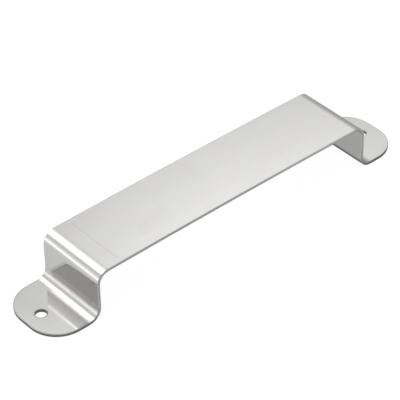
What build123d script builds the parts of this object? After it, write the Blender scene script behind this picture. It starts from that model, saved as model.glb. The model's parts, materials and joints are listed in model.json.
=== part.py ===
from build123d import *
import os
from math import asin, cos, pi, sin

# A bridge pull handle folded from one flat stainless strip: a grip that stands off
# the door or drawer, two short risers, and two feet that are screwed down from above.
#
# Frame: X runs along the grip, Y across the strip, Z away from the mounting surface.
# The origin is the middle of the footprint, on the plane that the feet rest on.
# All sizes are in millimetres.

# The strip
sheet = 1.5  # thickness of the strip
width = 35.0  # width of the strip, the same from foot to foot

# The bridge
span = 150.0  # between the outer faces of the two risers
height = 24.5  # from the mounting surface to the top of the grip's middle
crown = 0.6  # rise of the grip's middle over its ends, taken across the whole span
bend_inside_radius = 4.5  # tool radius of all four bends

# The feet
foot_reach = 24.0  # from a riser's outer face to the free end of its foot
foot_corner_radius = 14.0  # rounding of the two free corners of a foot
hole_diameter = 5.0  # screw hole, clear for a 4.5 mm screw
hole_to_end = 8.0  # from the centre of the hole to the free end of the foot

# The finish
edge_radius = 0.2  # left on every cut edge by tumbling the blank
corner_angle = 30.0  # in degrees: faces that turn more than this at an edge make it a sharp one

# Worked out from the sizes above
riser_x = span / 2
foot_end_x = riser_x + foot_reach
hole_x = foot_end_x - hole_to_end
bend_outside_radius = bend_inside_radius + sheet
drill_length = 4 * sheet  # half of it above and half below the surface that a foot lies on


def grip_arc():
    """Radius of the grip's crowned top face and the slope that it has at its ends."""
    radius = (riser_x**2 + crown**2) / (2 * crown)
    slope = asin((riser_x - bend_outside_radius) / (radius - bend_outside_radius))
    return radius, slope


def on_circle(centre_x, centre_z, radius, angle):
    """Point of a circle in the XZ plane, the angle counted from +Z towards +X."""
    return centre_x + radius * sin(angle), centre_z + radius * cos(angle)


def face_line(depth):
    """Half of one face of the strip, from the grip's middle to the free end of a foot.

    depth is 0 on the face that shows from above and sheet on the hidden one. The bends
    of the two faces share their centres, so the strip keeps its thickness all the way.
    """
    grip_radius, slope = grip_arc()
    grip_centre_z = height - grip_radius
    shoulder_x = riser_x - bend_outside_radius
    shoulder_z = grip_centre_z + (grip_radius - bend_outside_radius) * cos(slope)
    heel_x = riser_x + bend_inside_radius
    heel_z = sheet + bend_inside_radius

    grip_r = grip_radius - depth
    shoulder_r = bend_outside_radius - depth
    heel_r = bend_inside_radius + depth
    middle = on_circle(0, grip_centre_z, grip_r, 0)
    grip_half_way = on_circle(0, grip_centre_z, grip_r, slope / 2)
    grip_end = on_circle(0, grip_centre_z, grip_r, slope)
    shoulder_half_way = on_circle(shoulder_x, shoulder_z, shoulder_r, (slope + pi / 2) / 2)
    riser_top = on_circle(shoulder_x, shoulder_z, shoulder_r, pi / 2)
    riser_foot = on_circle(heel_x, heel_z, heel_r, -pi / 2)
    heel_half_way = on_circle(heel_x, heel_z, heel_r, -3 * pi / 4)
    foot_start = on_circle(heel_x, heel_z, heel_r, -pi)

    return [
        ThreePointArc(middle, grip_half_way, grip_end),
        ThreePointArc(grip_end, shoulder_half_way, riser_top),
        Line(riser_top, riser_foot),
        ThreePointArc(riser_foot, heel_half_way, foot_start),
        Line(foot_start, (foot_end_x, sheet - depth)),
    ]


def half_section():
    """Cut edge of the strip from the middle of the grip to one foot, in the XZ plane."""
    shown = face_line(0)
    hidden = face_line(sheet)
    middle_cut = Line(shown[0] @ 0, hidden[0] @ 0)
    end_cut = Line(shown[-1] @ 1, hidden[-1] @ 1)
    return make_face(Curve() + shown + [end_cut] + hidden + [middle_cut])


def folded_strip():
    """The bare strip: half the section across the full width, mirrored to the other foot."""
    section = Plane.XZ * half_section()
    half = extrude(section, width / 2, both=True)
    return half + mirror(half, about=Plane.YZ)


def round_feet(strip):
    """Round the two corners of each foot's free end, in the plan of the sheet."""
    corners = strip.edges().filter_by(Axis.Z).filter_by(
        lambda edge: abs(abs(edge.center().X) - foot_end_x) < sheet / 2
    )
    return fillet(corners, foot_corner_radius)


def drill_feet(strip):
    """One screw hole through each foot, on the centre line of the strip."""
    drill = Cylinder(hole_diameter / 2, drill_length)
    return strip - [Pos(side * hole_x, 0, 0) * drill for side in (-1, 1)]


def is_sharp(edge, faces):
    """Whether two faces meet along an edge at a corner, and not in one smooth run."""
    middle = edge @ 0.5
    normals = [face.normal_at(middle) for face in faces if edge in face.edges()]
    return len(normals) == 2 and normals[0].get_angle(normals[1]) > corner_angle


def break_edges(strip):
    """Round over the whole cut outline of the strip and the rims of both holes."""
    faces = strip.faces()
    sharp = strip.edges().filter_by(lambda edge: is_sharp(edge, faces))
    return fillet(sharp, edge_radius)


handle = break_edges(drill_feet(round_feet(folded_strip())))

os.makedirs("parts", exist_ok=True)
export_step(handle, "parts/handle.step")
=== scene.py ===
# %% [markdown]
# # Bridge pull handle
# This handle is one flat strip of stainless steel. It is cut to length with rounded ends,
# punched with two screw holes, tumbled to take the sharpness off its edges, and folded four
# times: grip, two risers, two feet. The script makes it in the same order, so that each
# stage of the real part has a stage here: blank, thickness, soft edges, fold, finish.
#
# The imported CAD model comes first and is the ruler: every size below that can be read from
# it is read from it, and the finished strip has to lie exactly where the CAD strip lies.

import json
from math import asin, cos, pi, radians

import bpy
from mathutils import Matrix, Vector


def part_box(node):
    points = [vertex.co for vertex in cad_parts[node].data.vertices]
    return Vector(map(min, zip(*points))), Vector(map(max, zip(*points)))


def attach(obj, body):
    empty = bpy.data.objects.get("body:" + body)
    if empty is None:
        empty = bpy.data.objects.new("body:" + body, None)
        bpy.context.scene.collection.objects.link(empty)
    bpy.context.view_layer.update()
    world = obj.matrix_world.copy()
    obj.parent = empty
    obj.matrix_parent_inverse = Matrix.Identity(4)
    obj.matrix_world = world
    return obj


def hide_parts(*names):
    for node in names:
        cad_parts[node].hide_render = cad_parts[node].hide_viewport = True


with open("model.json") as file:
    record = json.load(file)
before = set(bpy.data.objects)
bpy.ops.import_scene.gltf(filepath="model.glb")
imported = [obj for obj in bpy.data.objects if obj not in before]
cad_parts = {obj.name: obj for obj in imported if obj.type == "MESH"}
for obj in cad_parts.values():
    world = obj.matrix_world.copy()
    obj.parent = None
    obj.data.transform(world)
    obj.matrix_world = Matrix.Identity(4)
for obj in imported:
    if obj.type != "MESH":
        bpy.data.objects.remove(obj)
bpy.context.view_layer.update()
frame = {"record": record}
low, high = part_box("handle")
print("CAD strip from", [round(c * 1000, 2) for c in low], "to", [round(c * 1000, 2) for c in high], "mm")

# %% [markdown]
# ## Sizes of the strip
# A folded part is described by a few shop sizes: the sheet, the width, how far apart the
# risers stand, how high the grip is, and the radii of the tools that bend it. The outer
# sizes and the holes are read from the model. The rest can't be read from a box or a mount:
# the gauge of the sheet, the reach of a foot, the crown of the grip and the radii.
#
# A bend made in a press doesn't start at once. The sheet eases into it and out of it over
# about a millimetre, and a mirror finish shows that as a soft end to every bright band.

# %% Read and name the sizes, in metres
MM = 0.001
mounts = {mount["name"]: mount for mount in frame["record"]["mounts"]}
hole_spacing = mounts["screw_holes"]["dims"]["spacing_x_mm"] * MM
hole_radius = mounts["screw_holes"]["dims"]["hole_r_mm"] * MM

overall = high.x - low.x
width = high.y - low.y
height = high.z - low.z
sheet = 1.5 * MM
foot_reach = 24 * MM
crown = 0.6 * MM
bend_radius = 4.5 * MM + sheet / 2
corner_radius = 14 * MM
edge_radius = 0.2 * MM
shoulder_lead = 1.2 * MM
heel_lead = 1.4 * MM

riser_x = overall / 2 - foot_reach
hole_to_end = (overall - hole_spacing) / 2
print(f"strip {overall / MM:.1f} x {width / MM:.1f} x {height / MM:.1f} mm, risers at {riser_x / MM:.1f} mm")
print(f"holes {hole_to_end / MM:.1f} mm from the ends, radius {hole_radius / MM:.2f} mm")

# %% [markdown]
# ## The fold as a list of runs
# Seen from the side, the middle layer of the sheet is a chain of runs: the grip (a very
# flat arc), the shoulder bend, the straight riser, the heel bend and the straight foot.
# Every run has a length along the sheet and an angle that it turns through, so one rule
# can place them all. The angles are counted downwards from the direction of the grip.
#
# One could also draw this line as a curve and sweep a section along it. The chain of runs
# was chosen because it starts from the flat blank, which is also what the grain of the
# metal and the position of the holes follow.

# %% Work out length and turn of each run
sheet_middle_x = riser_x - sheet / 2
crown_radius = (riser_x**2 + crown**2) / (2 * crown) - sheet / 2
slope = asin((sheet_middle_x - bend_radius) / (crown_radius - bend_radius))
grip_drop = crown_radius * (1 - cos(slope))
shoulder_drop = bend_radius * cos(slope)
riser_length = (height - sheet / 2) - grip_drop - shoulder_drop - (sheet / 2 + bend_radius)
runs = {
    "Grip": (crown_radius * slope, slope),
    "Shoulder": (bend_radius * (pi / 2 - slope), pi / 2 - slope),
    "Riser": (riser_length, 0.0),
    "Heel": (bend_radius * pi / 2, -pi / 2),
    "Foot": (overall / 2 - sheet_middle_x - bend_radius, 0.0),
}
starts, half_length = {}, 0.0
for name, (length, turn) in runs.items():
    starts[name] = half_length
    half_length += length
    print(f"{name}: {length / MM:.2f} mm from {starts[name] / MM:.2f}, turns {turn * 180 / pi:.1f} degrees")

# %% [markdown]
# ## Helpers for building node trees
# A node tree made by hand is a picture, and one made in a script should read like a short
# recipe. These helpers add one node, or one sum, per line.

# %% Node helpers
NUMBER, PLACE, SHAPE = "NodeSocketFloat", "NodeSocketVector", "NodeSocketGeometry"


def connect(tree, node, inputs):
    """Give each named or numbered input of a node its value, or a link where it gets a socket."""
    for key, value in inputs.items():
        if isinstance(value, bpy.types.NodeSocket):
            tree.links.new(value, node.inputs[key])
        else:
            node.inputs[key].default_value = value


def add(tree, kind, inputs=None, **options):
    """Add one node, set its options, and connect its inputs."""
    node = tree.nodes.new(kind)
    for option, value in options.items():
        setattr(node, option, value)
    connect(tree, node, inputs or {})
    return node


def maths(tree, operation, *terms, clamp=False):
    """One Math node; terms are numbers or sockets. Gives its output."""
    node = add(tree, "ShaderNodeMath", dict(enumerate(terms)), operation=operation, use_clamp=clamp)
    return node.outputs[0]


# %% Short names for common nodes
def total(tree, terms):
    """Sum of any number of sockets."""
    result = terms[0]
    for term in terms[1:]:
        result = maths(tree, "ADD", result, term)
    return result


def split(tree, vector):
    """The X, Y and Z of a vector, to be picked by name."""
    return add(tree, "ShaderNodeSeparateXYZ", {0: vector}).outputs


def blend(tree, share, first, second):
    """First where share is 0, second where it is 1, and evenly between them."""
    return add(tree, "ShaderNodeMix", {0: share, 2: first, 3: second}).outputs[0]


# %% Trees with named inputs
def new_tree(name, kind, sockets):
    """A tree with named inputs and outputs; sockets holds (name, direction, type, start value)."""
    tree = bpy.data.node_groups.new(name, kind)
    for label, direction, socket_type, start in sockets:
        socket = tree.interface.new_socket(name=label, in_out=direction, socket_type=socket_type)
        if start is not None:
            socket.default_value = start
    return tree


def end_tree(tree, last, tree_in, tree_out):
    """Make everything real, give it the material, and hand it out."""
    real = add(tree, "GeometryNodeRealizeInstances", {"Geometry": last.outputs[0]})
    finished = add(tree, "GeometryNodeSetMaterial", {
        "Geometry": real.outputs[0], "Material": tree_in.outputs["Material"],
    })
    tree.links.new(finished.outputs[0], tree_out.inputs[0])


def set_input(modifier, label, value):
    """Set a modifier's input by the identifier of the socket that has this name."""
    for item in modifier.node_group.interface.items_tree:
        if item.in_out == "INPUT" and item.name == label:
            modifier[item.identifier] = value
            return
    raise KeyError(label)


# %% [markdown]
# ## The flat blank
# The blank is a rectangle with rounded ends and two holes. Between the heels it only needs
# cross rows where the fold will curve, many in the bends and few on the grip. The two ends
# stay flat for ever, so Fill Curve can make them from their outlines, and it leaves a hole
# where one outline lies inside another. It fills with a few large faces, because the long
# thin triangles of its other mode would show as dark lines in a polished surface.
#
# The place of each point on the blank is kept as a UV map. The finish uses it later, so
# that the grain runs round the bends as it does on real rolled strip.

# %% Share out the cross rows
BEND_ROWS, LEAD_ROWS = 30, 6
GRIP_ROWS, RISER_ROWS = 24, 3
stretches = [
    (runs["Grip"][0] - shoulder_lead, GRIP_ROWS),
    (shoulder_lead, LEAD_ROWS),
    (runs["Shoulder"][0], BEND_ROWS),
    (shoulder_lead, LEAD_ROWS),
    (runs["Riser"][0] - shoulder_lead - heel_lead, RISER_ROWS),
    (heel_lead, LEAD_ROWS),
    (runs["Heel"][0], BEND_ROWS),
    (heel_lead, LEAD_ROWS),
]
row_count = sum(steps for length, steps in stretches)
row_length = sum(length for length, steps in stretches)
plate_length = half_length - row_length
print(f"{row_count} rows over {row_length / MM:.2f} mm, then a flat end of {plate_length / MM:.2f} mm")

# %% Tree that cuts the blank: the middle
cut_tree = new_tree("Cut the blank", "GeometryNodeTree", [
    ("Geometry", "INPUT", SHAPE, None),
    ("Width", "INPUT", NUMBER, width),
    ("Flat End", "INPUT", NUMBER, plate_length),
    ("Corner Radius", "INPUT", NUMBER, corner_radius),
    ("Hole Radius", "INPUT", NUMBER, hole_radius),
    ("Hole To End", "INPUT", NUMBER, hole_to_end),
    ("Corner Steps", "INPUT", "NodeSocketInt", 20),
    ("Hole Steps", "INPUT", "NodeSocketInt", 64),
    ("Material", "INPUT", "NodeSocketMaterial", None),
    ("Geometry", "OUTPUT", SHAPE, None),
])
cut_in = add(cut_tree, "NodeGroupInput")
cut_out = add(cut_tree, "NodeGroupOutput")

rows = add(cut_tree, "GeometryNodeMeshGrid", {
    "Size X": 2 * row_count, "Size Y": cut_in.outputs["Width"],
    "Vertices X": 2 * row_count + 1, "Vertices Y": 2,
})
blank_position = add(cut_tree, "GeometryNodeInputPosition").outputs[0]
row_at = split(cut_tree, blank_position)
row_number = maths(cut_tree, "ABSOLUTE", row_at["X"])
row_side = maths(cut_tree, "SIGN", row_at["X"])
reached, first_row = [], 0
for length, steps in stretches:
    rows_in = maths(cut_tree, "SUBTRACT", row_number, first_row)
    share_in = maths(cut_tree, "DIVIDE", rows_in, steps, clamp=True)
    reached.append(maths(cut_tree, "MULTIPLY", share_in, length))
    first_row += steps
row_place = add(cut_tree, "ShaderNodeCombineXYZ", {
    "X": maths(cut_tree, "MULTIPLY", row_side, total(cut_tree, reached)),
    "Y": row_at["Y"],
})
middle = add(cut_tree, "GeometryNodeSetPosition", {
    "Geometry": rows.outputs["Mesh"], "Position": row_place.outputs[0],
})
print(f"the bends have a row every {runs['Heel'][0] / BEND_ROWS / MM:.2f} mm")

# %% [markdown]
# ## The ends of the blank
# A foot has two large rounded corners and a punched hole. A boolean could cut them from a
# plate, but it leaves stray corners that a bevel stumbles over. Two outlines that are
# filled together come out clean: one is a rectangle, filleted only at its free end, and the
# other is a circle. The second foot is the first one turned half round, and a weld joins
# both to the rows.

# %% One flat end with its hole
outline = add(cut_tree, "GeometryNodeCurvePrimitiveQuadrilateral", {
    "Width": cut_in.outputs["Flat End"], "Height": cut_in.outputs["Width"],
})
free_corner = maths(cut_tree, "GREATER_THAN", split(cut_tree, blank_position)["X"], 0.0)
rounded = add(cut_tree, "GeometryNodeFilletCurve", {
    "Curve": outline.outputs[0],
    "Radius": maths(cut_tree, "MULTIPLY", free_corner, cut_in.outputs["Corner Radius"]),
    "Count": cut_in.outputs["Corner Steps"],
}, mode="POLY")
hole = add(cut_tree, "GeometryNodeCurvePrimitiveCircle", {
    "Resolution": cut_in.outputs["Hole Steps"], "Radius": cut_in.outputs["Hole Radius"],
})
half_plate = maths(cut_tree, "MULTIPLY", cut_in.outputs["Flat End"], 0.5)
hole_place = add(cut_tree, "ShaderNodeCombineXYZ", {
    "X": maths(cut_tree, "SUBTRACT", half_plate, cut_in.outputs["Hole To End"]),
})
moved_hole = add(cut_tree, "GeometryNodeTransform", {
    "Geometry": hole.outputs[0], "Translation": hole_place.outputs[0],
})
outlines = add(cut_tree, "GeometryNodeJoinGeometry")
cut_tree.links.new(rounded.outputs[0], outlines.inputs[0])
cut_tree.links.new(moved_hole.outputs[0], outlines.inputs[0])
plate = add(cut_tree, "GeometryNodeFillCurve", {"Curve": outlines.outputs[0]}, mode="NGONS")
print(f"each end is rounded by {corner_radius / MM:.0f} mm, with a {2 * hole_radius / MM:.0f} mm hole")

# %% Both ends joined to the rows
plate_place = add(cut_tree, "ShaderNodeCombineXYZ", {"X": maths(cut_tree, "ADD", half_plate, row_length)})
right_plate = add(cut_tree, "GeometryNodeTransform", {
    "Geometry": plate.outputs[0], "Translation": plate_place.outputs[0],
})
left_plate = add(cut_tree, "GeometryNodeTransform", {
    "Geometry": right_plate.outputs[0], "Rotation": (0.0, 0.0, pi),
})
WELD = 0.01 * MM
pieces = add(cut_tree, "GeometryNodeJoinGeometry")
for part in (middle, right_plate, left_plate):
    cut_tree.links.new(part.outputs[0], pieces.inputs[0])
welded = add(cut_tree, "GeometryNodeMergeByDistance", {"Geometry": pieces.outputs[0], "Distance": WELD})
flat_map = add(cut_tree, "GeometryNodeStoreNamedAttribute", {
    "Geometry": welded.outputs[0], "Name": "blank", "Value": blank_position,
}, data_type="FLOAT2", domain="CORNER")
end_tree(cut_tree, flat_map, cut_in, cut_out)
print(cut_tree.name, "has", len(cut_tree.nodes), "nodes")

# %% [markdown]
# ## The folding rule
# A run of the chain, straight or bent, takes a point from its start to its end along a
# chord. If the run turns through an angle, the chord is shorter than the run by the factor
# sin(a / 2) / (a / 2) and points halfway between the first and the last heading. A straight
# run is the same rule with no turn. So one small group places every run, and the fold is
# the sum of five of them.

# %% Group that follows one run
run_group = new_tree("Follow one run", "GeometryNodeTree", [
    ("Along", "INPUT", NUMBER, 0.0),
    ("Start", "INPUT", NUMBER, 0.0),
    ("Length", "INPUT", NUMBER, 1.0),
    ("Heading", "INPUT", NUMBER, 0.0),
    ("Turn", "INPUT", NUMBER, 0.0),
    ("Out", "OUTPUT", NUMBER, None),
    ("Down", "OUTPUT", NUMBER, None),
    ("Turned", "OUTPUT", NUMBER, None),
])
run_in = add(run_group, "NodeGroupInput").outputs
run_out = add(run_group, "NodeGroupOutput")
NO_TURN = 1e-6

since_start = maths(run_group, "SUBTRACT", run_in["Along"], run_in["Start"])
share = maths(run_group, "DIVIDE", since_start, run_in["Length"], clamp=True)
turned = maths(run_group, "MULTIPLY", share, run_in["Turn"])
half_turn = maths(run_group, "MULTIPLY_ADD", turned, 0.5, NO_TURN)
shortening = maths(run_group, "DIVIDE", maths(run_group, "SINE", half_turn), half_turn)
chord = maths(run_group, "MULTIPLY", maths(run_group, "MULTIPLY", share, run_in["Length"]), shortening)
heading = maths(run_group, "ADD", run_in["Heading"], half_turn)
for label, value in (
    ("Out", maths(run_group, "MULTIPLY", chord, maths(run_group, "COSINE", heading))),
    ("Down", maths(run_group, "MULTIPLY", chord, maths(run_group, "SINE", heading))),
    ("Turned", turned),
):
    run_group.links.new(value, run_out.inputs[label])
print(run_group.name, "has", len(run_group.nodes), "nodes")

# %% [markdown]
# ## Easing the bends
# Where the curve of a bend comes in evenly over a lead on both sides of its start, the
# sheet ends up a little to the inside of the sharp rule: by the square of the lead, over
# six times the radius. Here that is a twentieth of a millimetre, far too little to measure
# on the handle, but enough to soften every reflection that ends at a bend. The group gives
# this shift, and the fold adds it to the height of a point over the middle layer.

# %% Group that eases one bend
ease_group = new_tree("Ease one bend", "GeometryNodeTree", [
    ("Along", "INPUT", NUMBER, 0.0),
    ("Start", "INPUT", NUMBER, 0.0),
    ("Length", "INPUT", NUMBER, 1.0),
    ("Lead", "INPUT", NUMBER, 1.0 * MM),
    ("Radius", "INPUT", NUMBER, bend_radius),
    ("Shift", "OUTPUT", NUMBER, None),
])
ease_in = add(ease_group, "NodeGroupInput").outputs
ease_out = add(ease_group, "NodeGroupOutput")


def eased_step(edge):
    """0 well before an edge and 1 well after it, with a slope that comes and goes evenly."""
    past_edge = maths(ease_group, "SUBTRACT", ease_in["Along"], edge)
    offset = maths(ease_group, "DIVIDE", past_edge, ease_in["Lead"])
    near = maths(ease_group, "SUBTRACT", 1.0, maths(ease_group, "ABSOLUTE", offset), clamp=True)
    half = maths(ease_group, "MULTIPLY", maths(ease_group, "POWER", near, 3.0), 0.5)
    past = maths(ease_group, "GREATER_THAN", offset, 0.0)
    return blend(ease_group, past, half, maths(ease_group, "SUBTRACT", 1.0, half))


bend_end = maths(ease_group, "ADD", ease_in["Start"], ease_in["Length"])
in_bend = maths(ease_group, "SUBTRACT", eased_step(ease_in["Start"]), eased_step(bend_end))
lead_squared = maths(ease_group, "MULTIPLY", ease_in["Lead"], ease_in["Lead"])
full_shift = maths(ease_group, "DIVIDE", lead_squared, maths(ease_group, "MULTIPLY", ease_in["Radius"], 6.0))
ease_group.links.new(maths(ease_group, "MULTIPLY", in_bend, full_shift), ease_out.inputs["Shift"])
for name, lead in (("shoulder", shoulder_lead), ("heel", heel_lead)):
    print(f"the {name} moves {lead**2 / (6 * bend_radius) / MM:.3f} mm inwards")

# %% [markdown]
# ## The fold
# The tree reads where each point is on the flat blank, follows the chain of runs to find
# the same place on the folded middle layer, and sets the point as far over that layer as it
# was over the middle of the blank. It also keeps which faces were cut and how deep in the
# sheet each point lies, because a cut face is duller than the skin.

# %% Tree that folds the blank
fold_tree = new_tree("Fold the blank", "GeometryNodeTree", [
    ("Geometry", "INPUT", SHAPE, None),
    ("Grip Middle Height", "INPUT", NUMBER, height - sheet / 2),
    ("Shoulder Lead", "INPUT", NUMBER, shoulder_lead),
    ("Heel Lead", "INPUT", NUMBER, heel_lead),
    ("Material", "INPUT", "NodeSocketMaterial", None),
    ("Geometry", "OUTPUT", SHAPE, None),
] + [(f"{name} Length", "INPUT", NUMBER, runs[name][0]) for name in runs]
  + [(f"{name} Turn", "INPUT", NUMBER, runs[name][1]) for name in runs])
fold_in = add(fold_tree, "NodeGroupInput")
fold_out = add(fold_tree, "NodeGroupOutput")

flat = split(fold_tree, add(fold_tree, "GeometryNodeInputPosition").outputs[0])
facing = split(fold_tree, add(fold_tree, "GeometryNodeInputNormal").outputs[0])
cut_face = maths(fold_tree, "SUBTRACT", 1.0, maths(fold_tree, "ABSOLUTE", facing["Z"]))
edge_marked = add(fold_tree, "GeometryNodeStoreNamedAttribute", {
    "Geometry": fold_in.outputs["Geometry"], "Name": "cut_face", "Value": cut_face,
}, data_type="FLOAT", domain="FACE")
marked = add(fold_tree, "GeometryNodeStoreNamedAttribute", {
    "Geometry": edge_marked.outputs[0], "Name": "depth",
    "Value": maths(fold_tree, "DIVIDE", flat["Z"], sheet),
}, data_type="FLOAT", domain="POINT")

# %% [markdown]
# ## Where every point goes
# The loop below is the whole fold: run after run adds its way out, its way down and its
# turn, and each bend also adds its easing. A chain of Simple Deform modifiers could bend
# the blank as well, but each would need its own empty, and the sizes would be spread over
# many objects. Here they are the inputs of one tree.

# %% Follow the chain and ease its two bends
along = maths(fold_tree, "ABSOLUTE", flat["X"])
start, heading = 0.0, 0.0
outs, downs, turns, shifts = [], [], [], []
for name in runs:
    length, turn = fold_in.outputs[f"{name} Length"], fold_in.outputs[f"{name} Turn"]
    run = add(fold_tree, "GeometryNodeGroup", node_tree=run_group)
    connect(fold_tree, run, {"Along": along, "Start": start, "Length": length})
    connect(fold_tree, run, {"Heading": heading, "Turn": turn})
    outs.append(run.outputs["Out"])
    downs.append(run.outputs["Down"])
    turns.append(run.outputs["Turned"])
    if name in ("Shoulder", "Heel"):
        ease = add(fold_tree, "GeometryNodeGroup", node_tree=ease_group)
        lead = fold_in.outputs[f"{name} Lead"]
        connect(fold_tree, ease, {"Along": along, "Start": start, "Length": length, "Lead": lead})
        inwards = -1.0 if name == "Shoulder" else 1.0
        shifts.append(maths(fold_tree, "MULTIPLY", ease.outputs["Shift"], inwards))
    start = maths(fold_tree, "ADD", start, length)
    heading = maths(fold_tree, "ADD", heading, turn)
print("the chain has", len(outs), "runs, and", len(shifts), "of them are eased")

# %% Put every point on the folded sheet
leaning = total(fold_tree, turns)
over_middle = total(fold_tree, [flat["Z"]] + shifts)
sine, cosine = maths(fold_tree, "SINE", leaning), maths(fold_tree, "COSINE", leaning)
reach = maths(fold_tree, "MULTIPLY_ADD", over_middle, sine, total(fold_tree, outs))
lift = maths(fold_tree, "MULTIPLY_ADD", over_middle, cosine, fold_in.outputs["Grip Middle Height"])
folded_place = add(fold_tree, "ShaderNodeCombineXYZ", {
    "X": maths(fold_tree, "MULTIPLY", maths(fold_tree, "SIGN", flat["X"]), reach),
    "Y": flat["Y"],
    "Z": maths(fold_tree, "SUBTRACT", lift, total(fold_tree, downs)),
})
folded = add(fold_tree, "GeometryNodeSetPosition", {
    "Geometry": marked.outputs[0], "Position": folded_place.outputs[0],
})
smooth = add(fold_tree, "GeometryNodeSetShadeSmooth", {"Geometry": folded.outputs[0], "Shade Smooth": True})
end_tree(fold_tree, smooth, fold_in, fold_out)
print(fold_tree.name, "has", len(fold_tree.nodes), "nodes")

# %% [markdown]
# ## Marks that the finish is made of
# Polished stainless strip is never a perfect mirror. Rolling leaves fine lines along its
# length, hands and packing leave faint smears and hairlines, the bending tool prints a thin
# line across the grip where its shoulder pressed, and the cut faces are duller than the
# skin. Each of these is a small node group with named inputs that gives a mask or a value.
# An image could hold them all, but it would blur at close range and stretch round the
# bends, and numbers can be changed.
#
# All of them read the place on the flat blank, so that they run round the bends with the
# metal.

# %% Group for rolled grain
def stretched_noise(tree, place, scale, detail, turn=0.0, roughness=0.55):
    """Noise drawn out along one direction of the blank."""
    drawn_out = add(tree, "ShaderNodeMapping", {
        "Vector": place, "Rotation": (0, 0, turn), "Scale": (*scale, 1.0),
    })
    return add(tree, "ShaderNodeTexNoise", {
        "Vector": drawn_out.outputs[0], "Scale": 1.0, "Detail": detail, "Roughness": roughness,
    }, noise_dimensions="2D").outputs[0]


def between(tree, value, low_edge, high_edge, low_result=0.0, high_result=1.0):
    """Smooth step of a value between two edges, put between two results."""
    ramp = add(tree, "ShaderNodeMapRange", {
        "Value": value, "From Min": low_edge, "From Max": high_edge,
        "To Min": low_result, "To Max": high_result,
    }, interpolation_type="SMOOTHSTEP")
    return ramp.outputs[0]


grain_group = new_tree("Rolled grain", "ShaderNodeTree", [
    ("Place", "INPUT", PLACE, None),
    ("Fine Lines", "INPUT", NUMBER, 0.6),
    ("Grain", "OUTPUT", NUMBER, None),
    ("Cloud", "OUTPUT", NUMBER, None),
])
inside = add(grain_group, "NodeGroupInput").outputs
outside = add(grain_group, "NodeGroupOutput")
HAIRS, STREAKS, CLOUDS = (90, 6500), (14, 900), (30, 95)  # so many to the metre, along and across
hairs = stretched_noise(grain_group, inside["Place"], HAIRS, 2)
streaks = stretched_noise(grain_group, inside["Place"], STREAKS, 3)
mixed = blend(grain_group, inside["Fine Lines"], streaks, hairs)
grain_group.links.new(between(grain_group, mixed, 0.32, 0.68), outside.inputs["Grain"])
cloud = stretched_noise(grain_group, inside["Place"], CLOUDS, 3)
grain_group.links.new(between(grain_group, cloud, 0.3, 0.7), outside.inputs["Cloud"])
print(grain_group.name, "has", len(grain_group.nodes), "nodes")

# %% [markdown]
# ## Smears and hairlines
# A handle is wiped, packed and tried by hand before it is sold. That leaves soft smears and
# a few hairlines that cross each other. Scratches could be drawn one by one, but noise that
# is stretched very long and cut off high gives many at once, each with thin and uneven
# ends. Three of them at different turns keep the surface from looking combed.

# %% Group for handling marks
handling_group = new_tree("Handling marks", "ShaderNodeTree", [
    ("Place", "INPUT", PLACE, None),
    ("Smear Size", "INPUT", NUMBER, 45.0),
    ("Smears", "OUTPUT", NUMBER, None),
    ("Hairlines", "OUTPUT", NUMBER, None),
])
inside = add(handling_group, "NodeGroupInput").outputs
outside = add(handling_group, "NodeGroupOutput")
smear = add(handling_group, "ShaderNodeTexNoise", {
    "Vector": inside["Place"], "Scale": inside["Smear Size"], "Detail": 4.0, "Distortion": 0.8,
}, noise_dimensions="2D")
handling_group.links.new(between(handling_group, smear.outputs[0], 0.48, 0.74), outside.inputs["Smears"])
SCRATCHES = ((0.5, (35, 3200)), (2.2, (28, 2600)), (1.3, (45, 3800)))  # turn, and how many to the metre
crossing = []
for turn, scale in SCRATCHES:
    line = stretched_noise(handling_group, inside["Place"], scale, 1, turn)
    crossing.append(between(handling_group, line, 0.72, 0.80))
handling_group.links.new(total(handling_group, crossing), outside.inputs["Hairlines"])
print(handling_group.name, "has hairlines in", len(crossing), "directions")

# %% [markdown]
# ## Lines from the bending tool
# The press holds the sheet beside the bend, and the edge of its tool prints a thin line
# across the grip: plain at the left end, and hardly there at the right. The line is far too
# shallow to model, so it is a mask at a set distance along the blank. It fades out before
# the sides and is a little uneven, as the pressure was.

# %% Group for the lines that the bending tool leaves
witness_group = new_tree("Tool witness lines", "ShaderNodeTree", [
    ("Place", "INPUT", PLACE, None),
    ("Left Line", "INPUT", NUMBER, 62.0 * MM),
    ("Right Line", "INPUT", NUMBER, 63.5 * MM),
    ("Right Share", "INPUT", NUMBER, 0.2),
    ("Line Width", "INPUT", NUMBER, 0.35 * MM),
    ("Half Width", "INPUT", NUMBER, 16.5 * MM),
    ("Line", "OUTPUT", NUMBER, None),
])
inside = add(witness_group, "NodeGroupInput").outputs
outside = add(witness_group, "NodeGroupOutput")
spot = split(witness_group, inside["Place"])
on_right = maths(witness_group, "GREATER_THAN", spot["X"], 0.0)
line_at = blend(witness_group, on_right, inside["Left Line"], inside["Right Line"])
from_line = maths(witness_group, "SUBTRACT", maths(witness_group, "ABSOLUTE", spot["X"]), line_at)
off_line = maths(witness_group, "DIVIDE", maths(witness_group, "ABSOLUTE", from_line), inside["Line Width"])
off_centre = maths(witness_group, "DIVIDE", maths(witness_group, "ABSOLUTE", spot["Y"]), inside["Half Width"])
UNEVEN = (300, 160)
pressure = stretched_noise(witness_group, inside["Place"], UNEVEN, 2)
pressed = between(witness_group, off_line, 0.0, 1.0, 1.0, 0.0)
for factor in (
    between(witness_group, off_centre, 0.8, 1.0, 1.0, 0.0),
    between(witness_group, pressure, 0.3, 0.7, 0.45, 1.0),
    blend(witness_group, on_right, 1.0, inside["Right Share"]),
):
    pressed = maths(witness_group, "MULTIPLY", pressed, factor)
witness_group.links.new(pressed, outside.inputs["Line"])
print(witness_group.name, "has", len(witness_group.nodes), "nodes")

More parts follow.
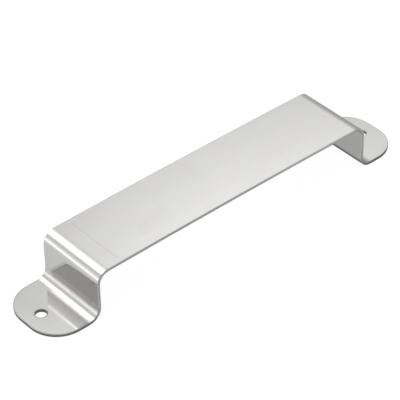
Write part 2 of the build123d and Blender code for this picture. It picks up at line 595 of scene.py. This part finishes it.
# %% [markdown]
# ## Bends that lose some polish
# In a bend the metal is stretched over the die or squeezed against the nose of the tool, so
# its skin turns a little satin there, most of all in the heel, and bright bands blur. A
# painted mask would do too, but a mask that is worked out from the place and the length of
# the bend stays right when a size changes.

# %% Group for a bend that loses some of its polish
bend_group = new_tree("Polish lost in a bend", "ShaderNodeTree", [
    ("Place", "INPUT", PLACE, None),
    ("Bend From", "INPUT", NUMBER, 0.0),
    ("Bend Length", "INPUT", NUMBER, 1.0),
    ("Fade", "INPUT", NUMBER, 2.0 * MM),
    ("Bent", "OUTPUT", NUMBER, None),
])
inside = add(bend_group, "NodeGroupInput").outputs
outside = add(bend_group, "NodeGroupOutput")
half_bend = maths(bend_group, "MULTIPLY", inside["Bend Length"], 0.5)
bend_middle = maths(bend_group, "ADD", inside["Bend From"], half_bend)
from_grip_middle = maths(bend_group, "ABSOLUTE", split(bend_group, inside["Place"])["X"])
off_bend = maths(bend_group, "ABSOLUTE", maths(bend_group, "SUBTRACT", from_grip_middle, bend_middle))
within = maths(bend_group, "DIVIDE", maths(bend_group, "SUBTRACT", half_bend, off_bend), inside["Fade"])
bend_group.links.new(between(bend_group, within, -0.5, 0.5), outside.inputs["Bent"])
print(f"heel from {starts['Heel'] / MM:.1f} to {starts['Foot'] / MM:.1f} mm on the blank")

# %% [markdown]
# ## Cut faces and rims
# A punch or a slitting roll pulls the skin down before it shears, and the polishing wheel
# never reaches that strip. So the cut face is dull and its upper part is torn. A thin dark
# line follows the outline: partly that pulled-down skin, and partly painted shade, the dark
# of the narrow gaps beside the feet as the edge would mirror it. It is plain at the punched
# ends and holes, faint along the slit sides, and lighter round the right hole than the left.
# The group knows the cut faces by an attribute from the fold, and the rims by the distance
# from a rounded rectangle and from the holes.

# %% Group for cut faces and rims
def distance(tree, across, up):
    """Length of a step that goes across and up."""
    squares = maths(tree, "ADD", maths(tree, "MULTIPLY", across, across), maths(tree, "MULTIPLY", up, up))
    return maths(tree, "SQRT", squares)


edge_group = new_tree("Cut faces and rims", "ShaderNodeTree", [
    ("Cut Face", "INPUT", NUMBER, 0.0),
    ("Depth", "INPUT", NUMBER, 0.0),
    ("Place", "INPUT", PLACE, None),
    ("Half Length", "INPUT", NUMBER, half_length),
    ("Half Width", "INPUT", NUMBER, width / 2),
    ("Corner Radius", "INPUT", NUMBER, corner_radius),
    ("Hole At", "INPUT", NUMBER, half_length - hole_to_end),
    ("Hole Radius", "INPUT", NUMBER, hole_radius),
    ("Rim Width", "INPUT", NUMBER, 0.35 * MM),
    ("Slit Share", "INPUT", NUMBER, 0.25),
    ("Right Hole Share", "INPUT", NUMBER, 0.35),
    ("Cut", "OUTPUT", NUMBER, None),
    ("Torn", "OUTPUT", NUMBER, None),
    ("Rim", "OUTPUT", NUMBER, None),
    ("Hole Rim", "OUTPUT", NUMBER, None),
])
inside = add(edge_group, "NodeGroupInput").outputs
outside = add(edge_group, "NodeGroupOutput")
cut = between(edge_group, inside["Cut Face"], 0.25, 0.9)
RAGGED, TORN_SWING, TORN_LEVEL, TORN_SOFT = (700, 700), 0.25, -0.02, 0.06
ragged = stretched_noise(edge_group, inside["Place"], RAGGED, 3)
torn_from = maths(edge_group, "MULTIPLY_ADD", ragged, TORN_SWING, TORN_LEVEL)
torn = between(edge_group, maths(edge_group, "SUBTRACT", torn_from, inside["Depth"]), -TORN_SOFT, TORN_SOFT)
print(edge_group.name, "has", len(edge_group.interface.items_tree), "inputs and outputs")

# %% Dark rims, partly painted shade, by the distance from the outline and from the holes
spot = split(edge_group, inside["Place"])
from_centre = maths(edge_group, "ABSOLUTE", spot["X"])
corner_x = maths(edge_group, "SUBTRACT", inside["Half Length"], inside["Corner Radius"])
corner_y = maths(edge_group, "SUBTRACT", inside["Half Width"], inside["Corner Radius"])
past_corner_x = maths(edge_group, "SUBTRACT", from_centre, corner_x)
past_corner_y = maths(edge_group, "SUBTRACT", maths(edge_group, "ABSOLUTE", spot["Y"]), corner_y)
past_corner = distance(
    edge_group,
    maths(edge_group, "MAXIMUM", past_corner_x, 0.0),
    maths(edge_group, "MAXIMUM", past_corner_y, 0.0))
from_rim = maths(edge_group, "SUBTRACT", inside["Corner Radius"], past_corner)
from_hole = maths(
    edge_group, "SUBTRACT",
    distance(edge_group, maths(edge_group, "SUBTRACT", from_centre, inside["Hole At"]), spot["Y"]),
    inside["Hole Radius"])
before_corner = maths(edge_group, "DIVIDE", past_corner_x, inside["Corner Radius"])
# The ends get the most, as the dark rim is partly painted shade of the gaps where the feet meet the table
punched_and_shaded = between(edge_group, before_corner, -0.7, -0.2, inside["Slit Share"], 1.0)
on_right = maths(edge_group, "GREATER_THAN", spot["X"], 0.0)
hole_share = blend(edge_group, on_right, 1.0, inside["Right Hole Share"])
for label, gap, share in (("Rim", from_rim, punched_and_shaded), ("Hole Rim", from_hole, hole_share)):
    steps_in = maths(edge_group, "DIVIDE", gap, inside["Rim Width"])
    near = between(edge_group, steps_in, 0.6, 1.4, 1.0, 0.0)
    edge_group.links.new(maths(edge_group, "MULTIPLY", near, share), outside.inputs[label])
edge_group.links.new(cut, outside.inputs["Cut"])
edge_group.links.new(maths(edge_group, "MULTIPLY", cut, torn), outside.inputs["Torn"])
print("rims are dark for", edge_group.interface.items_tree["Rim Width"].default_value / MM, "mm")

# %% [markdown]
# ## Stainless steel
# The metal is one Principled shader with Metallic at 1. Bare metal has no diffuse colour,
# so nearly all of what is seen is the room, and the finish lives in the roughness and in
# very small bumps. The masks only nudge the colour: cut faces are darker than the skin, the
# rims and hole rims darkest with painted shade, and a smear dulls the skin a little.

# %% Stainless material
steel = bpy.data.materials.new("Polished stainless strip")
steel.use_nodes = True
metal = steel.node_tree
principled = metal.nodes["Principled BSDF"]
principled.inputs["Metallic"].default_value = 1.0

on_blank = add(metal, "ShaderNodeUVMap", uv_map="blank").outputs[0]
cut_value = add(metal, "ShaderNodeAttribute", attribute_name="cut_face").outputs["Fac"]
depth_value = add(metal, "ShaderNodeAttribute", attribute_name="depth").outputs["Fac"]


def place_group(group, **values):
    """Put a finish group in the material and give each named input its value or link."""
    node = metal.nodes.new("ShaderNodeGroup")
    node.node_tree = group
    for label, value in values.items():
        socket = node.inputs[label.replace("_", " ")]
        if isinstance(value, bpy.types.NodeSocket):
            metal.links.new(value, socket)
        else:
            socket.default_value = value
    return node.outputs


def tint(colour, mask, share, towards):
    """Move a colour towards another where a mask says so."""
    amount = maths(metal, "MULTIPLY", mask, share, clamp=True)
    mix = add(metal, "ShaderNodeMix", {0: amount}, data_type="RGBA")
    if isinstance(colour, bpy.types.NodeSocket):
        metal.links.new(colour, mix.inputs[6])
    else:
        mix.inputs[6].default_value = (*colour, 1)
    mix.inputs[7].default_value = (*towards, 1)
    return mix.outputs[2]


# %% Place the finish groups
rolled = place_group(grain_group, Place=on_blank, Fine_Lines=0.6)
handled = place_group(handling_group, Place=on_blank, Smear_Size=45.0)
witness = place_group(witness_group, Place=on_blank)
bent = {}
for name in ("Shoulder", "Heel"):
    bent[name] = place_group(
        bend_group, Place=on_blank, Bend_From=starts[name], Bend_Length=runs[name][0])["Bent"]
edges = place_group(edge_group, Cut_Face=cut_value, Depth=depth_value, Place=on_blank)
print("finish groups:", [node.node_tree.name for node in metal.nodes if node.type == "GROUP"])

# %% Colour
SKIN = (0.525, 0.521, 0.514)
DULL = (0.48, 0.476, 0.47)
CUT = (0.37, 0.37, 0.37)
TORN = (0.30, 0.30, 0.305)
# The rim colour is partly pulled-down skin and partly painted shade; the hole rim colour is mostly painted
# shade of the gaps under the feet
RIM_AND_PAINTED_SHADE = (0.26, 0.26, 0.262)
HOLE_RIM_PAINTED_SHADE = (0.09, 0.09, 0.091)
colour = tint(SKIN, rolled["Cloud"], 0.25, DULL)
colour = tint(colour, handled["Smears"], 0.25, DULL)
colour = tint(colour, witness["Line"], 0.5, TORN)
# Painted shade along the outline, together with some pulled-down skin
colour = tint(colour, edges["Rim"], 0.6, RIM_AND_PAINTED_SHADE)
colour = tint(colour, edges["Cut"], 1.0, CUT)
colour = tint(colour, edges["Torn"], 0.8, TORN)
# Painted shade round the holes: the dark gap below, as the hole wall would mirror it
colour = tint(colour, edges["Hole Rim"], 0.85, HOLE_RIM_PAINTED_SHADE)
metal.links.new(colour, principled.inputs["Base Color"])
print("skin mirrors", SKIN, "and a punched rim", HOLE_RIM_PAINTED_SHADE)

# %% [markdown]
# ## How polished and how even
# Each finish group adds its share to the roughness, and some also raise or sink the surface
# by a hundredth of a millimetre at most. Relief this small catches the light but can hardly
# be felt, so a bump is right for it. Anything that could be felt is in the mesh.

# %% Roughness and relief
POLISH = 0.045
roughness_of = (
    (rolled["Grain"], 0.02),
    (rolled["Cloud"], 0.02),
    (bent["Shoulder"], 0.12),
    (bent["Heel"], 0.20),
    (handled["Smears"], 0.05),
    (handled["Hairlines"], 0.06),
    (witness["Line"], 0.10),
    (edges["Cut"], 0.22),
    (edges["Torn"], 0.12),
)
roughness = POLISH
for mask, amount in roughness_of:
    roughness = maths(metal, "MULTIPLY_ADD", mask, amount, roughness)
metal.links.new(roughness, principled.inputs["Roughness"])

height_of = (
    (rolled["Grain"], 0.0002 * MM),
    (handled["Hairlines"], -0.0008 * MM),
    (witness["Line"], -0.004 * MM),
    (edges["Torn"], -0.01 * MM),
)
surface_height = 0.0
for mask, amount in height_of:
    surface_height = maths(metal, "MULTIPLY_ADD", mask, amount, surface_height)
relief = add(metal, "ShaderNodeBump", {"Height": surface_height, "Distance": 1.0, "Strength": 1.0})
metal.links.new(relief.outputs[0], principled.inputs["Normal"])
print(steel.name, "has", len(metal.nodes), "nodes")

# %% [markdown]
# ## From blank to handle
# The modifiers stand in the order of the shop: cut the blank, give the sheet its thickness
# to both sides of the middle layer, tumble the edges, fold. The edges are rounded before
# the fold, while every rim is still a simple outline, and the fold then carries the
# rounding round the bends. Last, each corner takes the direction of its largest face,
# which keeps flats flat in a mirror finish.

# %% Put the modifiers on
EDGE_STEPS, SHARP_FROM = 4, radians(60)
blank = bpy.data.objects.new("blank", bpy.data.meshes.new("blank"))
bpy.context.scene.collection.objects.link(blank)

cutting = blank.modifiers.new("Cut the blank", "NODES")
cutting.node_group = cut_tree
set_input(cutting, "Material", steel)
thickness = blank.modifiers.new("Sheet thickness", "SOLIDIFY")
thickness.thickness = sheet
thickness.offset = 0.0
tumbling = blank.modifiers.new("Tumbled edges", "BEVEL")
tumbling.width = edge_radius
tumbling.segments = EDGE_STEPS
tumbling.limit_method = "ANGLE"
tumbling.angle_limit = SHARP_FROM
folding = blank.modifiers.new("Fold the blank", "NODES")
folding.node_group = fold_tree
set_input(folding, "Material", steel)
shading = blank.modifiers.new("Even shading", "WEIGHTED_NORMAL")
shading.keep_sharp = False
shading.weight = 100
print("modifiers:", [modifier.name for modifier in blank.modifiers])

# %% [markdown]
# ## A plain mesh
# The stack of modifiers has done its work, and what it made is kept as a plain mesh, so
# that the strip is the same wherever the file goes. It takes the place of the CAD strip.

# %% Make the plain mesh
depsgraph = bpy.context.evaluated_depsgraph_get()
strip_mesh = bpy.data.meshes.new_from_object(
    blank.evaluated_get(depsgraph), preserve_all_data_layers=True, depsgraph=depsgraph)
strip_mesh.name = "folded_strip"
strip = bpy.data.objects.new("folded_strip", strip_mesh)
bpy.context.scene.collection.objects.link(strip)
bpy.data.objects.remove(blank)
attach(strip, "root")
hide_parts("handle")

corners = [vertex.co for vertex in strip_mesh.vertices]
smallest = [round(min(corner[axis] for corner in corners) / MM, 3) for axis in range(3)]
largest = [round(max(corner[axis] for corner in corners) / MM, 3) for axis in range(3)]
print("strip has", len(strip_mesh.polygons), "faces and lies from", smallest, "to", largest, "mm")

# %% [markdown]
# ## The table
# The handle lies on a lit white sheet of acrylic, as small goods do when they are shown. It
# shines evenly when looked at, so it seems endless. In the metal it isn't even: it is
# brighter on the left, fades to the right, has a patch of glow in front of the right end,
# and is dark in the narrow gaps next to the handle, though not inside the two holes, where
# light comes up through the table. Light Path tells the two apart, and Ambient Occlusion
# finds the gaps. A large soft lamp below a real sheet would give the same, but it would
# need many more samples to come out clean.
#
# All soft light here fades by one bell curve, as light does through a diffuser.

# %% Bell curve for soft light
def glow_over(tree, place, centre, spread):
    """A bell curve round a centre: 1 in the middle, fading over the spread on each axis that has one."""
    parts = []
    for axis, middle_at, wide in zip("XYZ", centre, spread):
        if wide:
            step = maths(tree, "DIVIDE", maths(tree, "SUBTRACT", place[axis], middle_at), wide)
            parts.append(maths(tree, "MULTIPLY", step, step))
    return maths(tree, "EXPONENT", maths(tree, "MULTIPLY", total(tree, parts), -0.5))


# %% Table top
TABLE_SIZE = 6
bpy.ops.mesh.primitive_plane_add(size=TABLE_SIZE)
floor = bpy.context.object
floor.name = "floor"
acrylic = bpy.data.materials.new("Lit acrylic table")
acrylic.use_nodes = True
floor.data.materials.append(acrylic)
table = acrylic.node_tree
surface = table.nodes["Principled BSDF"]
surface.inputs["Specular IOR Level"].default_value = 0.0
surface.inputs["Roughness"].default_value = 1.0
surface.inputs["Emission Color"].default_value = (1, 1, 1, 1)
print(floor.name, "is", TABLE_SIZE, "m wide, with its top at", floor.location.z)

# %% Glow of the table
SEEN_BASE, SEEN_GLOW = 0.08, 0.96
GLOW_FROM_X, GLOW_TO_X = -0.22, 0.12
GLOW_LEFT, GLOW_RIGHT = 1.22, 0.54
FRONT_GLOW, FRONT_AT, FRONT_SPREAD = 0.6, (0.09, -0.042, 0), (0.055, 0.014, 0)
HOLE_GLOW = hole_radius * 1.2
GAP_REACH, GAP_POWER, GAP_LEAST = 0.004, 4.0, 0.28

on_table = split(table, add(table, "ShaderNodeTexCoord").outputs["Object"])
across = add(table, "ShaderNodeMapRange", {
    "Value": on_table["X"], "From Min": GLOW_FROM_X, "From Max": GLOW_TO_X,
    "To Min": GLOW_LEFT, "To Max": GLOW_RIGHT,
}).outputs[0]
in_front = glow_over(table, on_table, FRONT_AT, FRONT_SPREAD)
lit = maths(table, "MULTIPLY_ADD", in_front, FRONT_GLOW, across)
open_sky = add(table, "ShaderNodeAmbientOcclusion", {"Distance": GAP_REACH}, samples=16).outputs["AO"]
shaded = maths(table, "MAXIMUM", maths(table, "POWER", open_sky, GAP_POWER), GAP_LEAST)
for hole_x in (-hole_spacing / 2, hole_spacing / 2):
    in_hole = glow_over(table, on_table, (hole_x, 0, 0), (HOLE_GLOW, HOLE_GLOW, 0))
    shaded = maths(table, "MAXIMUM", shaded, in_hole)
mirrored_glow = maths(table, "MULTIPLY", lit, shaded)
straight = add(table, "ShaderNodeLightPath").outputs["Is Camera Ray"]
glow = blend(table, straight, mirrored_glow, SEEN_GLOW)
table.links.new(glow, surface.inputs["Emission Strength"])
white = blend(table, straight, 0.0, SEEN_BASE)
table.links.new(white, surface.inputs["Base Color"])
print(acrylic.name, "has", len(table.nodes), "nodes")

# %% [markdown]
# ## Lights round the handle
# A polished part shows its lamps, so each light is placed for what the metal mirrors:
#
# - a tube low over the left end, which draws the bright bands on the shoulder and heel and,
#   by way of the riser, the band across the left foot;
# - a soft box on the left, low down, for the lower edge of the left riser;
# - a wide box overhead for the grip, and a weaker one beyond it for the right foot.
#
# Each is a sheet that shines by a bell curve and lets other light through, so that one
# never hides another. An area lamp has a hard edge, and a mirror finish would show it.

# %% Sheet of soft light
def soft_light(name, corners, strength, shape):
    """A sheet of light between four corners that fades as shape says and lets light through it."""
    mesh = bpy.data.meshes.new(name)
    mesh.from_pydata(corners, [], [(0, 1, 2, 3)])
    sheet_of_light = bpy.data.objects.new(name, mesh)
    bpy.context.scene.collection.objects.link(sheet_of_light)
    sheet_of_light.visible_camera = False
    shine = bpy.data.materials.new(name)
    shine.use_nodes = True
    tree = shine.node_tree
    tree.nodes.clear()
    place = split(tree, add(tree, "ShaderNodeTexCoord").outputs["Object"])
    brightness = maths(tree, "MULTIPLY", shape(tree, place), strength)
    light = add(tree, "ShaderNodeEmission", {"Strength": brightness})
    clear = add(tree, "ShaderNodeBsdfTransparent")
    both = add(tree, "ShaderNodeAddShader", {0: light.outputs[0], 1: clear.outputs[0]})
    add(tree, "ShaderNodeOutputMaterial", {"Surface": both.outputs[0]})
    mesh.materials.append(shine)
    print(name, "at full strength", strength)
    return sheet_of_light


def level_sheet(left, right, front, back, up):
    """Four corners of a level rectangle."""
    return [(left, front, up), (left, back, up), (right, back, up), (right, front, up)]


# %% [markdown]
# ## The tube
# The tube hangs nearest, not nine centimetres over the left foot, so each bend draws it as
# a thin bright band. Its core gives the band, and its skirt the softer light beside it.
# It adds nothing to the table, which has its own glow.

# %% Tube over the left end
TUBE_Z = 0.0875
CORE_X, CORE_SPREAD, CORE_GLOW = -0.103, 0.0122, 2.6
SKIRT_X, SKIRT_SPREAD, SKIRT_GLOW = -0.0744, 0.012, 1.6


def tube_profile(tree, place):
    """A tube behind a diffuser: a bright core with a soft skirt on its inner side."""
    core = maths(tree, "MULTIPLY", glow_over(tree, place, (CORE_X, 0, 0), (CORE_SPREAD, 0, 0)), CORE_GLOW)
    skirt = maths(tree, "MULTIPLY", glow_over(tree, place, (SKIRT_X, 0, 0), (SKIRT_SPREAD, 0, 0)), SKIRT_GLOW)
    return maths(tree, "ADD", core, skirt)


tube = soft_light("overhead_strip", level_sheet(-0.2, 0.0, -0.1, 0.3, TUBE_Z), 1.0, tube_profile)
tube.visible_diffuse = False

# %% [markdown]
# ## The soft boxes
# The boxes are large and farther off, so they show as slow changes of tone on the grip, the
# left riser and the right foot. Where a box is brightest matters more than how large it is,
# and that place is the centre of its bell curve.

# %% Soft boxes
SIDE_X, TOP_Z, FILL_Z = -0.284, 0.293, 0.32
SIDE_GLOW, TOP_GLOW, FILL_GLOW = 0.9, 1.77, 0.46


def side_glow(tree, place):
    """Glow along the foot of the left box."""
    return glow_over(tree, place, (0, 0, 0.0288), (0, 0, 0.0401))


def top_glow(tree, place):
    """Glow in the overhead box."""
    return glow_over(tree, place, (0.168, 0.015, 0), (0.12, 0.16, 0))


def fill_glow(tree, place):
    """Glow in the box over the right end."""
    return glow_over(tree, place, (0.398, 0.233, 0), (0.125, 0.125, 0))


side_corners = [(SIDE_X, 0.0, 0.0), (SIDE_X, 0.6, 0.0), (SIDE_X, 0.6, 0.2), (SIDE_X, 0.0, 0.2)]
soft_light("left_box", side_corners, SIDE_GLOW, side_glow)
soft_light("overhead_box", level_sheet(-0.4, 1.1, -0.4, 0.8, TOP_Z), TOP_GLOW, top_glow)
soft_light("right_fill", level_sheet(0.0, 1.1, -0.2, 0.8, FILL_Z), FILL_GLOW, fill_glow)

# %% [markdown]
# ## The room
# Beyond the lamps is a plain pale room. Its brightness is a sum of slopes: brighter to the
# left and to the back, darker overhead. Three walls are added to that: the right one is
# brighter towards its top, the far one goes dark past a point, and the front one is bright.
# A least brightness stands for the light that every real room has in its darkest corner. A
# picture of a room could light the metal as well, but slopes can be set one by one.

# %% White room
EVEN, TO_RIGHT, TO_BACK, TO_TOP = 0.657, -0.271, 0.502, -0.291
DARKEST = 0.2

world = bpy.data.worlds.new("White room")
bpy.context.scene.world = world
world.use_nodes = True
room = world.node_tree
towards = split(room, add(room, "ShaderNodeTexCoord").outputs["Generated"])


def beyond(axis, sign, start):
    """How far a direction points along an axis past a start, or 0 short of it."""
    return maths(room, "MAXIMUM", maths(room, "MULTIPLY_ADD", towards[axis], sign, -start), 0.0)


right_wall = maths(room, "MULTIPLY_ADD", towards["Z"], 0.9, -0.23)
room_parts = [
    maths(room, "MULTIPLY_ADD", towards["X"], TO_RIGHT, EVEN),
    maths(room, "MULTIPLY", towards["Y"], TO_BACK),
    maths(room, "MULTIPLY", towards["Z"], TO_TOP),
    maths(room, "MULTIPLY", beyond("X", 1.0, 0.3), right_wall),
    maths(room, "MULTIPLY", beyond("Y", 1.0, 0.66), -4.0),
    maths(room, "MULTIPLY", beyond("Y", -1.0, 0.35), 1.4),
]
brightness = maths(room, "MAXIMUM", total(room, room_parts), DARKEST)
room.links.new(brightness, room.nodes["Background"].inputs["Strength"])
room.nodes["Background"].inputs["Color"].default_value = (1, 1, 1, 1)
print("room is a sum of", len(room_parts), "parts, and nowhere darker than", DARKEST)

# %% [markdown]
# ## Camera
# The handle is seen from the front left and above, with a long lens from most of a metre
# away, which keeps the far foot nearly as large as the near one. Three turns give the
# view: round the upright axis, down towards the table, and a slight roll.

# %% Camera
ROUND, DOWN, ROLL = radians(-40.651), radians(38.719), radians(-0.833)
AWAY, AIM = 880.65 * MM, Vector((6.558, 13.66, 0)) * MM
SENSOR, LENS = 36, 182.42  # in millimetres, as on a real camera
camera_data = bpy.data.cameras.new("camera")
camera_data.sensor_width = SENSOR
camera_data.lens = LENS
camera = bpy.data.objects.new("camera", camera_data)
bpy.context.scene.collection.objects.link(camera)
view = Matrix.Rotation(ROUND, 3, "Z") @ Matrix.Rotation(pi / 2 - DOWN, 3, "X") @ Matrix.Rotation(ROLL, 3, "Z")
camera.matrix_world = Matrix.Translation(AIM + view @ Vector((0, 0, AWAY))) @ view.to_4x4()
bpy.context.scene.camera = camera
bpy.context.scene.view_settings.view_transform = "Standard"
print("camera at", [round(c, 4) for c in camera.matrix_world.translation])
